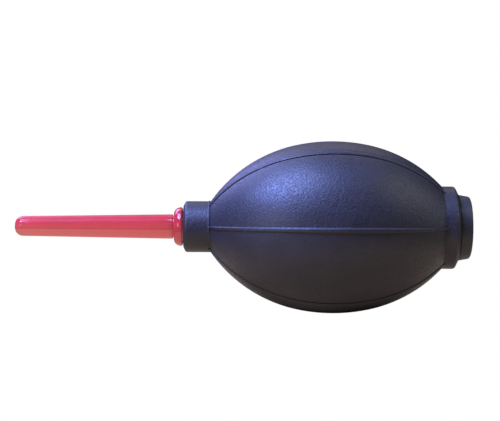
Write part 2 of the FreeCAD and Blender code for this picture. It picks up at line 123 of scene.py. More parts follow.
# inlet valve plug, cage and grille
FLANGE_GAP = 0.15
FLANGE_RADIUS = 11.55
FLANGE_RIM = 10.8
FLANGE_ROUND = 0.85
BARREL_RADIUS = 10.15
BARREL_BORE = 8.4
GROOVE_RADIUS = 9.8
GROOVE_WIDTH = 0.8
GROOVE_PITCH = 2.4
GROOVE_COUNT = 3
RECESS_DEPTH = 5.2
SEAT_THICKNESS = 2.0
FILTER_ROOM = 3.0
FILTER_BORE = 8.2
GRILLE_BORE = 8.8
LIP_HEIGHT = 0.3
LIP_RINGS = ((2.1, 2.6), (6.3, 6.8))  # inner and outer radius of the seat's two lips
AIR_HOLE = 1.2  # radius
AIR_CIRCLE = 4.2
AIR_COUNT = 6
AIR_TURN = 30.0  # degrees
DISC_BUTTON = 1.2  # radius of the raised button on the disc's front
DISC_BUTTON_FOOT = 1.6
DISC_BUTTON_HEIGHT = 0.12
DISC_LIP_WIDTH = 1.2
DISC_LIP_DROP = 0.3
CAGE_BORE = 7.5
CAGE_HUB = 1.7
SPOKE_HALF = 0.6
SPOKE_HEIGHT = 1.4
FOAM_ROUND = 0.5
FOAM_RINGS = 22  # of mesh on each face
FOAM_MARGIN = 0.7  # from the outermost of them to the edge
FOAM_CORE = 1.0  # half thickness of the core that isn't roughened
FOAM_GRAIN = 0.625
FOAM_ROUGHNESS = 0.06
GRILLE_HOLE = 0.85  # radius
GRILLE_HOLE_FLARE = 0.35
GRILLE_CIRCLES = ((2.9, 6), (5.7, 12))  # radius of the circle, holes on it
GRILLE_RIM = 1.0
GRILLE_DISH = 0.25

# how far a cutter goes past the surface that it cuts through
OVERCUT = 1.0
FLARE_OVERCUT = 0.2


def low(node):
    """Lowest corner of a CAD node's box, in millimetres."""
    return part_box(node)[0] / MM


def high(node):
    """Highest corner of a CAD node's box, in millimetres."""
    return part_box(node)[1] / MM


NECK_X = low("bulb_shell").x
REAR_X = high("bulb_shell").x
KNEE_LEAN = math.asin(CROWN_HALF / CROWN_ARC)
CROWN_CENTRE = BULB_RADIUS - CROWN_ARC
END_CENTRE_X = (CROWN_ARC - END_ARC) * math.sin(KNEE_LEAN)
END_CENTRE = CROWN_CENTRE + (CROWN_ARC - END_ARC) * math.cos(KNEE_LEAN)


def wall_point(lean, offset=0.0):
    """The point (x, radius) of the bulb's wall where its normal leans to the rear by lean.

    The offset moves it outwards."""
    if abs(lean) < KNEE_LEAN:
        arc = CROWN_ARC + offset
        return arc * math.sin(lean), CROWN_CENTRE + arc * math.cos(lean)
    arc = END_ARC + offset
    centre_x = math.copysign(END_CENTRE_X, lean)
    return centre_x + arc * math.sin(lean), END_CENTRE + arc * math.cos(lean)


def wall_lean(radius, offset=0.0):
    """The lean at which the rear part of the wall comes down to a radius."""
    return math.acos((radius - END_CENTRE) / (END_ARC + offset))


SHOULDER_LEAN = -wall_lean(NECK_RADIUS)
COLLAR_LEAN = wall_lean(COLLAR_RADIUS)
SHOULDER_X = wall_point(SHOULDER_LEAN)[0]
COLLAR_X = wall_point(COLLAR_LEAN)[0]

# ---------------------------------------------------------------- profiles


def line(start, end, count):
    """Points from start up to, not including, end."""
    points = []
    for i in range(count):
        share = i / count
        points.append((start[0] + (end[0] - start[0]) * share, start[1] + (end[1] - start[1]) * share))
    return points


def wall_points(from_lean, to_lean, count, offset=0.0):
    """Points along the bulb's wall from one lean up to, not including, the other."""
    return [wall_point(from_lean + (to_lean - from_lean) * i / count, offset) for i in range(count)]


def rounded(corners, steps=5):
    """A profile through corners (x, radius, rounding), each rounded by an arc with the radius rounding."""
    count = len(corners)
    points = []
    for i in range(count):
        x, y, rounding = corners[i]
        here = np.array([x, y], float)
        if rounding <= 0:
            points.append((x, y))
            continue
        before = np.array(corners[i - 1][:2], float)
        after = np.array(corners[(i + 1) % count][:2], float)
        a = (before - here) / np.linalg.norm(before - here)
        b = (after - here) / np.linalg.norm(after - here)
        half = math.acos(max(-1.0, min(1.0, float(a @ b)))) / 2
        reach = rounding / math.tan(half)
        middle = (a + b) / np.linalg.norm(a + b)
        centre = here + middle * (rounding / math.sin(half))
        first, last = here + a * reach - centre, here + b * reach - centre
        start = math.atan2(first[1], first[0])
        turn = math.atan2(last[1], last[0]) - start
        turn = (turn + math.pi) % (2 * math.pi) - math.pi
        for k in range(steps + 1):
            angle = start + turn * k / steps
            x, y = centre[0] + rounding * math.cos(angle), centre[1] + rounding * math.sin(angle)
            points.append((x, y))
    return points


# ---------------------------------------------------------------- meshes


def new_object(name, verts, faces):
    """A new object from points in millimetres."""
    mesh = bpy.data.meshes.new(name)
    mesh.from_pydata([tuple(c * MM for c in v) for v in verts], [], faces)
    mesh.validate()
    piece = bpy.data.objects.new(name, mesh)
    bpy.context.scene.collection.objects.link(piece)
    return piece


def tidy_normals(piece):
    """Turns all faces outwards."""
    work = bmesh.new()
    work.from_mesh(piece.data)
    bmesh.ops.recalc_face_normals(work, faces=work.faces)
    work.to_mesh(piece.data)
    work.free()


def smooth(piece, degrees=35):
    """Smooth shading, with edges sharper than this kept sharp."""
    piece.data.shade_smooth()
    piece.data.set_sharp_from_angle(angle=math.radians(degrees))


def lathe(name, profile, sides=144):
    """A closed solid turned round the X axis from a closed profile of (x, radius) points."""
    verts, rings = [], []
    for x, radius in profile:
        ring = []
        for k in range(1 if abs(radius) < 1e-6 else sides):
            angle = 2 * math.pi * k / sides
            ring.append(len(verts))
            verts.append((x, -radius * math.cos(angle), radius * math.sin(angle)))
        rings.append(ring)
    faces = []
    for i, ring in enumerate(rings):
        other = rings[(i + 1) % len(rings)]
        if len(ring) == 1 and len(other) == 1:
            continue
        for k in range(sides):
            n = (k + 1) % sides
            face = [ring[k % len(ring)], ring[n % len(ring)]]
            face += [other[n % len(other)], other[k % len(other)]]
            faces.append(list(dict.fromkeys(face)))
    piece = new_object(name, verts, faces)
    tidy_normals(piece)
    return piece


def cut_or_join(piece, tool, operation):
    """Boolean of a piece with a tool, which is then removed."""
    rule = piece.modifiers.new("shape", "BOOLEAN")
    rule.operation = operation
    rule.solver = "EXACT"
    rule.object = tool
    bpy.context.view_layer.update()
    evaluated = piece.evaluated_get(bpy.context.evaluated_depsgraph_get())
    mesh = bpy.data.meshes.new_from_object(evaluated)
    piece.modifiers.clear()
    piece.data = mesh
    bpy.data.objects.remove(tool)


def on_circle(circle, number, count, turn=0.0):
    """The (y, z) place of one of count places on a circle round the axis."""
    angle = 2 * math.pi * number / count + math.radians(turn)
    return circle * math.cos(angle), circle * math.sin(angle)


def rod(x_from, x_to, y, z, radius, flare=0.0):
    """A cutter along X for a round hole, wider by flare at its x_to end."""
    sides = 36
    ends = [(x_from, radius), (x_to, radius)]
    if flare:
        ends = [(x_from, radius), (x_to - flare, radius), (x_to, radius + flare)]
    verts, faces = [], []
    for x, size in ends:
        for k in range(sides):
            dy, dz = on_circle(size, k, sides)
            verts.append((x, y + dy, z + dz))
    for i in range(len(ends) - 1):
        for k in range(sides):
            n = (k + 1) % sides
            faces.append([i * sides + k, i * sides + n, (i + 1) * sides + n, (i + 1) * sides + k])
    faces.append(list(range(sides))[::-1])
    faces.append(list(range((len(ends) - 1) * sides, len(ends) * sides)))
    tool = new_object("tool", verts, faces)
    tidy_normals(tool)
    return tool


# ---------------------------------------------------------------- rubber bulb


def outside_profile():
    """Points (x, radius) of the bulb's outside, from the neck's mouth to the collar's mouth."""
    depth, height = NECK_BEVEL
    neck_front = [
        (NECK_X, NECK_RADIUS - 2 * height, 0),
        (NECK_X, NECK_RADIUS - height, NECK_ROUND),
        (NECK_X + depth, NECK_RADIUS, NECK_ROUND),
        (NECK_X + 2 * depth + NECK_ROUND, NECK_RADIUS, 0),
    ]
    depth, height = COLLAR_BEVEL
    collar_rear = [
        (REAR_X - depth, COLLAR_RADIUS, COLLAR_ROUND),
        (REAR_X, COLLAR_RADIUS - height, COLLAR_ROUND),
        (REAR_X, COLLAR_BORE + MOUTH_ROUND, 0),
        (COLLAR_X + RIB_RUNOUT, COLLAR_RADIUS, 0),
    ]
    rim_start = SHOULDER_X - RIM_ZONE
    points = line((NECK_X, NECK_BORE + MOUTH_ROUND), neck_front[0], 6)
    points += rounded(neck_front, 8)[:-1]
    points += line(neck_front[-1], (rim_start, NECK_RADIUS), 16)
    points += line((rim_start, NECK_RADIUS), (SHOULDER_X, NECK_RADIUS), 22)
    near_shoulder, near_collar = SHOULDER_LEAN + SHOULDER_ZONE, COLLAR_LEAN - COLLAR_ZONE
    points += wall_points(SHOULDER_LEAN, near_shoulder, 24)
    points += wall_points(near_shoulder, near_collar, 130)
    points += wall_points(near_collar, COLLAR_LEAN, 12)
    points += line((COLLAR_X, COLLAR_RADIUS), (COLLAR_X + RUNOUT_ZONE, COLLAR_RADIUS), 14)
    points += rounded(collar_rear, 8)[:-1]
    return np.array(points)


def inside_profile():
    """Points (x, radius) of the bulb's hollow, from the collar's mouth to the neck's mouth."""
    step_lean = math.asin((COLLAR_STEP - END_CENTRE_X) / (END_ARC - WALL))
    step_top = wall_point(step_lean, -WALL)
    bore_lean = -wall_lean(NECK_BORE, -WALL)
    bore_start = wall_point(bore_lean, -WALL)
    collar_mouth = [
        (REAR_X, COLLAR_BORE + MOUTH_ROUND, 0),
        (REAR_X - MOUTH_ROUND, COLLAR_BORE, 0),
        (COLLAR_STEP, COLLAR_BORE, 0.2),
        (*step_top, 0),
    ]
    points = rounded(collar_mouth, 4)[:-1]
    points += wall_points(step_lean, bore_lean, 60, -WALL)
    points += line(bore_start, (NECK_X + MOUTH_ROUND, NECK_BORE), 8)
    points.append((NECK_X + MOUTH_ROUND, NECK_BORE))
    return np.array(points)


def profile_normals(points):
    """Unit normals of a closed profile, on the left of its direction of travel."""
    step = np.roll(points, -1, axis=0) - np.roll(points, 1, axis=0)
    normal = np.stack([-step[:, 1], step[:, 0]], axis=1)
    return normal / np.linalg.norm(normal, axis=1)[:, None]


def ease(share):
    """Smooth step from 0 to 1."""
    share = np.clip(share, 0.0, 1.0)
    return share * share * (3 - 2 * share)


def rib_share(x):
    """1 where the ribs stand at full height, falling to 0 on the neck and where they end on the collar."""
    rise = np.clip((x - (SHOULDER_X - 2 * RIM_HALF)) / RIM_HALF, 0, 1)
    fall = np.clip((COLLAR_X + RIB_RUNOUT - x) / RIB_RUNOUT, 0, 1)
    return np.sqrt(rise * (2 - rise)) * np.sqrt(fall * (2 - fall))


def rib_section(distance, on_side):
    """Height of a rib at a distance from its middle, in its half widths.

    The two side ribs, on the mould's parting line, have straight flanks. The others are round, with a
    groove at their foot."""
    if on_side:
        return RIB_HEIGHT * min(1.0, max(0.0, (1 - distance) / RIB_FLANK))
    if distance <= 1:
        return ROUND_RIB_HEIGHT * math.sqrt(1 - distance**2)
    return -RIB_FOOT_DEPTH * ease((1 + RIB_FOOT_REACH - distance) / RIB_FOOT_REACH)


def squeeze_share(x, radius):
    """Each section's share of the squeeze: all of it at the widest, none at the neck and the collar."""
    end = np.where(x < 0, NECK_RADIUS, COLLAR_RADIUS)
    share = np.clip((radius - end) / (BULB_RADIUS - end), 0.0, 1.0)
    return np.where((x < SHOULDER_X) | (x > COLLAR_X), 0.0, share)


def bulb_columns():
    """Columns of a half bulb, from its front rib to its back rib.

    Each is (nearest rib's angle, side of it, distance from it in half widths, share of the panel)."""
    near = [*RIB_COLUMNS, *(1 + RIB_FOOT_REACH * share for share in FOOT_COLUMNS)]
    panel = PANEL_COLUMNS
    step = 360.0 / RIB_COUNT
    columns = []
    for sector in range(RIB_COUNT // 2):
        first, second = sector * step, (sector + 1) * step
        columns += [(first, 1, d, 0.0) for d in near]
        columns += [(first, 1, near[-1], k / panel) for k in range(1, panel + 1)]
        columns += [(second, -1, near[-1], k / panel) for k in range(panel - 1, 0, -1)]
        columns += [(second, -1, d, 0.0) for d in near[:0:-1]]
    columns.append((180.0, -1, 0.0, 0.0))
    return columns


def half_bulb(name, side):
    """Upper (side 1) or lower (side -1) half of the rubber bulb, closed where it's split along two ribs.

    Returns it with each point's share of the squeeze."""
    outside, inside = outside_profile(), inside_profile()
    points = np.concatenate([outside, inside])
    normals = profile_normals(points)
    x, radius = points[:, 0], points[:, 1]
    is_outside = np.arange(len(points)) < len(outside)
    share = squeeze_share(x, radius)
    half_width = RIB_HALF_AT_ENDS + (RIB_HALF_IN_MIDDLE - RIB_HALF_AT_ENDS) * share
    half_angle = half_width / np.maximum(radius, NECK_RADIUS)
    rib_level = np.where(is_outside, rib_share(x), 0.0)
    rim_distance = np.abs(x - (SHOULDER_X - RIM_HALF))
    rim = np.where(is_outside, ease(1 - rim_distance / RIM_HALF), 0.0) * RIM_HEIGHT
    columns = bulb_columns()
    half_sector = math.pi / RIB_COUNT

    # each column of points runs from the neck's mouth to the collar's and back through the hollow
    grid = np.zeros((len(columns), len(points), 3))
    weight = np.zeros((len(columns), len(points)))
    for c, (rib_degrees, way, distance, panel) in enumerate(columns):
        near = distance * half_angle
        offset = near + (half_sector - near) * panel
        angle = math.radians(rib_degrees) + way * offset
        on_side = rib_degrees % 180 == 0
        ridge = rib_level * (rib_section(distance, on_side) if panel == 0 else 0.0)
        rim_here = rim if side > 0 else rim * ease(1 - np.sin(angle) / RIM_FADE)
        lift = np.where(ridge > 0, np.maximum(ridge, rim_here), ridge + rim_here)
        lifted = radius + normals[:, 1] * lift
        grid[c, :, 0] = x + normals[:, 0] * lift
        grid[c, :, 1] = -lifted * np.cos(angle)
        grid[c, :, 2] = lifted * np.sin(angle) * side
        weight[c] = share * ease(np.sin(angle))

    # faces between the columns, and one to close each end
    rows = len(points)
    faces = []
    for c in range(len(columns) - 1):
        for i in range(rows):
            n = (i + 1) % rows
            faces.append([c * rows + i, c * rows + n, (c + 1) * rows + n, (c + 1) * rows + i])
    faces.append(list(range(rows)))
    faces.append(list(range((len(columns) - 1) * rows, len(columns) * rows))[::-1])
    piece = new_object(name, grid.reshape(-1, 3), faces)
    tidy_normals(piece)
    smooth(piece, 40)
    return piece, weight.ravel()


def bend_with(piece):
    """Bakes a half bulb's placement into its mesh."""
    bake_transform(piece)


# ---------------------------------------------------------------- nozzle


def make_nozzle():
    """Tapered tube with a round nose, a bead that rests near the neck, and a barbed shank inside it."""
    tip_x, tail_x = low("nozzle").x, high("nozzle").x
    bead_x = NECK_X - BEAD_GAP
    tube_x = bead_x - BEAD_LENGTH
    notch_x = tube_x - NOTCH_WIDTH
    corners = [
        (tip_x, OUTLET_RADIUS, 0.06),
        (tip_x, TIP_RADIUS, NOSE_ROUND),
        (notch_x, BASE_RADIUS, 0.15),
        (notch_x, NOTCH_RADIUS, 0.1),
        (tube_x, NOTCH_RADIUS, 0.1),
        (tube_x, BEAD_RADIUS, BEAD_ROUND),
        (bead_x, BEAD_RADIUS, BEAD_BACK_ROUND),
        (bead_x, SHANK_RADIUS, 0.15),
    ]
    first_barb = tail_x - BARB_COUNT * BARB_LENGTH
    for number in range(BARB_COUNT):
        start = first_barb + BARB_LENGTH * number
        end = start + BARB_LENGTH
        corners.append((start + BARB_CREST, SHANK_RADIUS, 0.15))
        corners.append((end, SHANK_ROOT, 0.08))
        if number < BARB_COUNT - 1:
            corners.append((end, SHANK_RADIUS, 0.08))
    corners += [(tail_x, NOZZLE_BORE, 0.2), (tip_x + OUTLET_LENGTH, OUTLET_RADIUS, 0)]
    piece = lathe("nozzle_tube", rounded(corners, 10), 160)
    smooth(piece)
    return piece


# ---------------------------------------------------------------- inlet valve


def make_housing():
    """Grooved barrel, its flange with a recess at the rear, and the valve's seat with air holes."""
    end_x, barrel_end = high("valve_housing").x, low("valve_housing").x
    flange_x = REAR_X + FLANGE_GAP
    recess_x = end_x - RECESS_DEPTH
    seat_x = recess_x - SEAT_THICKNESS
    ledge_x = recess_x + FILTER_ROOM
    lip_x = seat_x - LIP_HEIGHT
    corners = [
        (end_x, GRILLE_BORE, 0.25),
        (ledge_x, GRILLE_BORE, 0.05),
        (ledge_x, FILTER_BORE, 0.05),
        (recess_x, FILTER_BORE, 0.1),
        (recess_x, 0, 0),
        (seat_x, 0, 0),
    ]
    for inner, outer in LIP_RINGS:
        corners += [(seat_x, inner, 0.05), (lip_x, inner, 0.08)]
        corners += [(lip_x, outer, 0.08), (seat_x, outer, 0.05)]
    corners += [
        (seat_x, BARREL_BORE, 0.1),
        (barrel_end, BARREL_BORE, 0.2),
        (barrel_end, BARREL_RADIUS, 0.3),
    ]
    for number in range(GROOVE_COUNT):
        end = barrel_end + GROOVE_PITCH * (number + 1)
        start = end - GROOVE_WIDTH
        corners += [(start, BARREL_RADIUS, 0.1), (start, GROOVE_RADIUS, 0.1)]
        corners += [(end, GROOVE_RADIUS, 0.1), (end, BARREL_RADIUS, 0.1)]
    corners += [
        (flange_x, BARREL_RADIUS, 0.1),
        (flange_x, FLANGE_RADIUS, 0.25),
        (end_x, FLANGE_RIM, FLANGE_ROUND),
    ]
    piece = lathe("valve_plug", rounded(corners, 6), 160)
    for number in range(AIR_COUNT):
        y, z = on_circle(AIR_CIRCLE, number, AIR_COUNT, AIR_TURN)
        cut_or_join(piece, rod(lip_x - OVERCUT, recess_x + OVERCUT, y, z, AIR_HOLE), "DIFFERENCE")
    smooth(piece)
    return piece


def make_grille():
    """Round cap, a little dished on its rear, with a pattern of flared holes."""
    front, rear = low("intake_grille").x, high("intake_grille").x
    radius = high("intake_grille").z
    dish = rear - GRILLE_DISH
    corners = [
        (front, 0, 0),
        (front, radius, 0.15),
        (rear, radius, 0.4),
        (rear, radius - GRILLE_RIM, 0.1),
        (dish, radius - GRILLE_RIM - GRILLE_DISH, 0.1),
        (dish, 0, 0),
    ]
    piece = lathe("intake_cap", rounded(corners, 6), 144)
    holes = [(0.0, 0.0)]
    for circle, count in GRILLE_CIRCLES:
        holes += [on_circle(circle, number, count) for number in range(count)]
    for y, z in holes:
        cutter = rod(front - OVERCUT, dish + FLARE_OVERCUT, y, z, GRILLE_HOLE, GRILLE_HOLE_FLARE)
        cut_or_join(piece, cutter, "DIFFERENCE")
    smooth(piece)
    return piece


def make_disc():
    """Silicone disc, bevelled at its edge, with a raised button in the middle of its front."""
    front, rear = low("valve_disc").x, high("valve_disc").x
    radius = high("valve_disc").z
    corners = [
        (front, 0, 0),
        (front, DISC_BUTTON, 0.1),
        (front + DISC_BUTTON_HEIGHT, DISC_BUTTON_FOOT, 0.1),
        (front + DISC_BUTTON_HEIGHT, radius - DISC_LIP_WIDTH, 0.2),
        (front + DISC_LIP_DROP, radius, 0.2),
        (rear, radius, 0.15),
        (rear, 0, 0),
    ]
    piece = lathe("silicone_flap", rounded(corners, 4), 120)
    smooth(piece)
    return piece


def spoke_bar(x_from, x_to, turn, reach):
    """A bar right across the axis, from x_from to x_to."""
    way = Vector((0, math.cos(turn), math.sin(turn)))
    across = Vector((0, -math.sin(turn), math.cos(turn)))
    verts = []
    for x in (x_from, x_to):
        for a, b in ((-1, -1), (1, -1), (1, 1), (-1, 1)):
            spot = way * (reach * a) + across * (SPOKE_HALF * b)
            verts.append((x, spot.y, spot.z))
    faces = [[0, 1, 2, 3], [7, 6, 5, 4]]
    faces += [[i, i + 4, (i + 1) % 4 + 4, (i + 1) % 4] for i in range(4)]
    bar = new_object("tool", verts, faces)
    tidy_normals(bar)
    return bar


def make_cage():
    """Ring with a cross of two bars and a hub, which keeps the disc near its seat."""
    front, rear = low("valve_cage").x, high("valve_cage").x
    radius = high("valve_cage").z
    ring = [
        (front, CAGE_BORE, 0.15),
        (front, radius, 0.25),
        (rear, radius, 0.15),
        (rear, CAGE_BORE, 0.15),
    ]
    hub = [(front, 0, 0), (front, CAGE_HUB, 0.3), (rear, CAGE_HUB, 0.1), (rear, 0, 0)]
    piece = lathe("disc_cage", rounded(ring, 4), 120)
    for turn in (0, math.pi / 2):
        bar = spoke_bar(rear - SPOKE_HEIGHT, rear, turn, (CAGE_BORE + radius) / 2)
        cut_or_join(piece, bar, "UNION")
    cut_or_join(piece, lathe("tool", rounded(hub, 4), 48), "UNION")
    smooth(piece)
    return piece


def make_filter():
    """Foam disc with both faces roughened."""
    front, rear = low("dust_filter").x, high("dust_filter").x
    radius = high("dust_filter").z
    rings = [float(r) for r in np.linspace(0, radius - FOAM_MARGIN, FOAM_RINGS)]
    profile = [(front, r, 0) for r in rings] + [(front, radius, FOAM_ROUND)]
    profile += [(rear, radius, FOAM_ROUND)] + [(rear, r, 0) for r in reversed(rings)]
    piece = lathe("filter_foam", rounded(profile, 4), 110)
    for v in piece.data.vertices:
        if abs(v.co.x / MM - (front + rear) / 2) > FOAM_CORE:
            v.co.x += noise.noise(v.co / (FOAM_GRAIN * MM)) * FOAM_ROUGHNESS * MM
    smooth(piece, 60)
    return piece


# ---------------------------------------------------------------- materials


class Nodes:
    """A new material, with short ways to add and link its nodes."""

    def __init__(self, name):
        self.material = bpy.data.materials.new(name)
        self.material.use_nodes = True
        self.tree = self.material.node_tree
        self.surface = self.tree.nodes["Principled BSDF"]
        coordinates = self.add("ShaderNodeTexCoord")
        self.place = coordinates.outputs["Object"]
        self.direction = coordinates.outputs["Normal"]

    def add(self, kind, **settings):
        """A new node with these settings."""
        node = self.tree.nodes.new(kind)
        for key, value in settings.items():
            setattr(node, key, value)
        return node

    def link(self, source, target):
        """Feeds one node's output to another's input."""
        self.tree.links.new(source, target)

    def noise(self, size_mm, detail=2.0):
        """Noise with features of about this size."""
        node = self.add("ShaderNodeTexNoise")
        node.inputs["Scale"].default_value = 1000.0 / size_mm
        node.inputs["Detail"].default_value = detail
        self.link(self.place, node.inputs["Vector"])
        return node.outputs["Fac"]

    def cells(self, size_mm, feature="F1"):
        """Rounded cells of about this size: 0 at a cell's centre."""
        node = self.add("ShaderNodeTexVoronoi", feature=feature)
        node.inputs["Scale"].default_value = 1000.0 / size_mm
        self.link(self.place, node.inputs["Vector"])
        return node.outputs["Distance"]

    def ramp(self, value, stops):
        """A colour that changes along 0..1 through the stops (place, colour)."""
        node = self.add("ShaderNodeValToRGB")
        elements = node.color_ramp.elements
        while len(elements) < len(stops):
            elements.new(0.5)
        for element, (position, color) in zip(elements, stops):
            element.position = position
            element.color = (*color, 1.0)
        self.link(value, node.inputs["Fac"])
        return node.outputs["Color"]

    def between(self, value, low_value, high_value, from_low=0.0, from_high=1.0):
        """Maps from_low..from_high to low_value..high_value."""
        node = self.add("ShaderNodeMapRange")
        node.inputs["From Min"].default_value = from_low
        node.inputs["From Max"].default_value = from_high
        node.inputs["To Min"].default_value = low_value
        node.inputs["To Max"].default_value = high_value
        self.link(value, node.inputs["Value"])
        return node.outputs["Result"]

    def profile(self, value, stops):
        """A number that changes along 0..1 through the stops (place, number)."""
        greatest = max(number for _, number in stops)
        shade = self.ramp(value, [(position, [number / greatest] * 3) for position, number in stops])
        return self.between(shade, 0.0, greatest)

    def bump(self, height, depth_mm, below=None):
        """Relief of this depth, on top of the relief below it."""
        node = self.add("ShaderNodeBump")
        node.inputs["Distance"].default_value = depth_mm * MM
        self.link(height, node.inputs["Height"])
        if below is not None:
            self.link(below, node.inputs["Normal"])
        return node.outputs["Normal"]

    def set(self, **values):
        """Sets or links inputs of the surface; an underscore in a name stands for a space."""
        for key, value in values.items():
            socket = self.surface.inputs[key.replace("_", " ")]
            if hasattr(value, "links"):
                self.link(value, socket)
            else:
                socket.default_value = value


RUBBER_GRAIN = ((4.0, 0.04), (1.3, 0.045), (0.65, 0.09))  # (size, depth) of its relief in mm


def rubber_material():
    """Black rubber with a fine leathery mould grain."""
    n = Nodes("black_rubber")
    color = n.ramp(n.noise(9.0, 3.0), [(0.3, (0.022, 0.019, 0.021)), (0.7, (0.029, 0.025, 0.028))])
    normal = None
    for size, depth in RUBBER_GRAIN:
        normal = n.bump(n.noise(size), depth, normal)
    roughness = n.between(n.noise(0.75), 0.59, 0.37, from_low=0.3, from_high=0.7)
    n.set(Base_Color=color, Roughness=roughness, Normal=normal)
    return n.material


# painted glow of the nozzle: emission that stands in for floor light coming through its plastic, from its
# underside (0) to its top (1), lightest underneath
NOZZLE_PAINTED_LIGHT = (
    (0.0, (0.42, 0.14, 0.13)),
    (0.36, (0.4, 0.12, 0.11)),
    # painted shade of the bore, a dark line in the glow
    (0.4, (0.25, 0.055, 0.05)),  # shade of the bore
    (0.45, (0.31, 0.07, 0.062)),
    (0.78, (0.13, 0.02, 0.01)),
    (1.0, (0.1, 0.07, 0.07)),
)
# strength of the painted glow, and that of the polished coat, from the tip (0) to the bead (1)
PAINTED_LIGHT_ALONG = ((0.0, 1.1), (0.96, 0.8), (1.0, 0.42))
POLISH_ALONG = ((0.04, 0.35), (0.1, 0.04), (0.95, 0.04), (0.985, 0.8))


def nozzle_material():
    """Glossy red plastic with a painted glow, emission that stands in for the floor's light shining
    through it.
    """
    n = Nodes("red_plastic")
    cloud = n.noise(6.0)
    color = n.ramp(cloud, [(0.35, (0.42, 0.02, 0.028)), (0.65, (0.47, 0.024, 0.032))])
    fine = n.noise(0.3)
    normal = n.bump(fine, 0.002, n.bump(n.noise(5.0, 1.0), 0.03))
    n.set(Base_Color=color, Roughness=n.between(fine, 0.26, 0.34), Normal=normal, IOR=1.5)
    n.set(Subsurface_Weight=0.2, Subsurface_Radius=(1.0, 0.2, 0.15), Subsurface_Scale=1.2 * MM)
    facing = n.add("ShaderNodeSeparateXYZ")
    n.link(n.direction, facing.inputs[0])
    upwards = n.between(facing.outputs["Z"], 0.0, 1.0, from_low=-1.0)
    spot = n.add("ShaderNodeSeparateXYZ")
    n.link(n.place, spot.inputs[0])
    tip, tube_end = low("nozzle").x * MM, (NECK_X - BEAD_GAP - BEAD_LENGTH) * MM
    along = n.between(spot.outputs["X"], 0.0, 1.0, from_low=tip, from_high=tube_end)
    # painted glow: emission lightest where the surface faces down, fading from the tip to the bead
    n.set(Emission_Color=n.ramp(upwards, NOZZLE_PAINTED_LIGHT), Emission_Strength=n.profile(along, PAINTED_LIGHT_ALONG))
    n.set(Specular_IOR_Level=0.03, Coat_Weight=n.profile(along, POLISH_ALONG), Coat_Roughness=0.07)
    return n.material


def moulded_material(name, dark, light, roughness, grain_mm, depth_mm):
    """Moulded plastic: slight colour variation and a fine spark-eroded grain."""
    n = Nodes(name)
    color = n.ramp(n.noise(5.0, 3.0), [(0.3, dark), (0.7, light)])
    rough = n.between(n.noise(0.8, 3.0), roughness - 0.05, roughness + 0.05)
    n.set(Base_Color=color, Roughness=rough, Normal=n.bump(n.noise(grain_mm, 3.0), depth_mm))
    return n.material


def silicone_material():
    """Milky silicone with a soft sheen."""
    n = Nodes("silicone")
    color = n.ramp(n.noise(3.0), [(0.3, (0.7, 0.69, 0.65)), (0.7, (0.78, 0.77, 0.73))])
    rough = n.between(n.noise(0.5, 3.0), 0.38, 0.5)
    n.set(Base_Color=color, Roughness=rough, Normal=n.bump(n.noise(0.4), 0.01))
    n.set(Subsurface_Weight=0.4, Subsurface_Radius=(1.0, 0.9, 0.8), Subsurface_Scale=1.0 * MM)
    return n.material


def foam_material():
    """Open-cell foam with painted shade, darkest in its pores."""
    n = Nodes("filter_foam")
    pores = n.cells(0.5)
    # painted shade: darkest at the middle of each pore, where the relief is deepest
    color = n.ramp(pores, [(0.15, (0.012, 0.012, 0.014)), (0.6, (0.12, 0.12, 0.13))])
    normal = n.bump(pores, 0.2, n.bump(n.noise(0.2, 3.0), 0.05))
    n.set(Base_Color=color, Roughness=0.95, Normal=normal)
    return n.material


# name, darkest and lightest colour, roughness, size and depth of the grain in mm
BLACK_PLASTIC = ("black_plastic", (0.025, 0.024, 0.026), (0.034, 0.033, 0.036), 0.5, 0.3, 0.01)
GREY_PLASTIC = ("grey_plastic", (0.27, 0.27, 0.28), (0.33, 0.33, 0.34), 0.4, 0.3, 0.006)
GRILLE_PLASTIC = ("grille_plastic", (0.022, 0.021, 0.024), (0.03, 0.029, 0.032), 0.42, 0.25, 0.006)

# ---------------------------------------------------------------- the object


def finish_piece(piece, material):
    """Gives a piece its material."""
    piece.data.materials.clear()
    piece.data.materials.append(material)


rubber = rubber_material()
upper, upper_weight = half_bulb("bulb_upper", 1)
lower, lower_weight = half_bulb("bulb_lower", -1)
bend_with(upper)
bend_with(lower)
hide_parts("bulb_shell", "thumb_wall")
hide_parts("finger_wall")
finish_piece(upper, rubber)
finish_piece(lower, rubber)

# how it's made, material, body that it rides on, CAD node that it replaces, slot
RIGID_PIECES = [
    (make_nozzle, nozzle_material(), "nozzle", "nozzle", "red_plastic"),
    (make_housing, moulded_material(*BLACK_PLASTIC), "rear_plug", "valve_housing", "black_plastic"),
    (make_cage, moulded_material(*GREY_PLASTIC), "rear_plug", "valve_cage", "grey_plastic"),
    (make_filter, foam_material(), "rear_plug", "dust_filter", "filter_foam"),
    (make_disc, silicone_material(), "valve_disc", "valve_disc", "silicone"),
    (make_grille, moulded_material(*GRILLE_PLASTIC), "grille", "intake_grille", "grille_plastic"),
]
for make, material, body, node, slot in RIGID_PIECES:
    piece = make()
    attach(piece, body)
    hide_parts(node)
    finish_piece(piece, material)

# ---------------------------------------------------------------- studio

# The floor and the room are plain white to the camera. The object is lit by the softboxes and by the
# floor's
# painted bounce: emission seen only by the object, a painted ring of light round a painted shadow, less
# from the bulb's own shadow, none from right under it or from far away.
# colour of the floor's painted bounce light
BOUNCE_PAINT_COLOR = (1.0, 0.85, 0.78)
FLOOR_HALF = 1500.0
FLOOR_GAP = 0.05  # under the bulb
SHADOW_X = 9.0  # middle of the bulb's shadow
# (distance from there in mm, strength)
FLOOR_LIGHT = ((0, 0.0), (20, 0.38), (32, 0.5), (45, 0.53), (62, 0.8), (75, 0.84), (150, 0.0))
CORE_EDGE = (4.0, 17.0)  # of the shadow's dark core, across the bulb's axis
CORE_STRETCH = 3.0  # of the same, along the axis


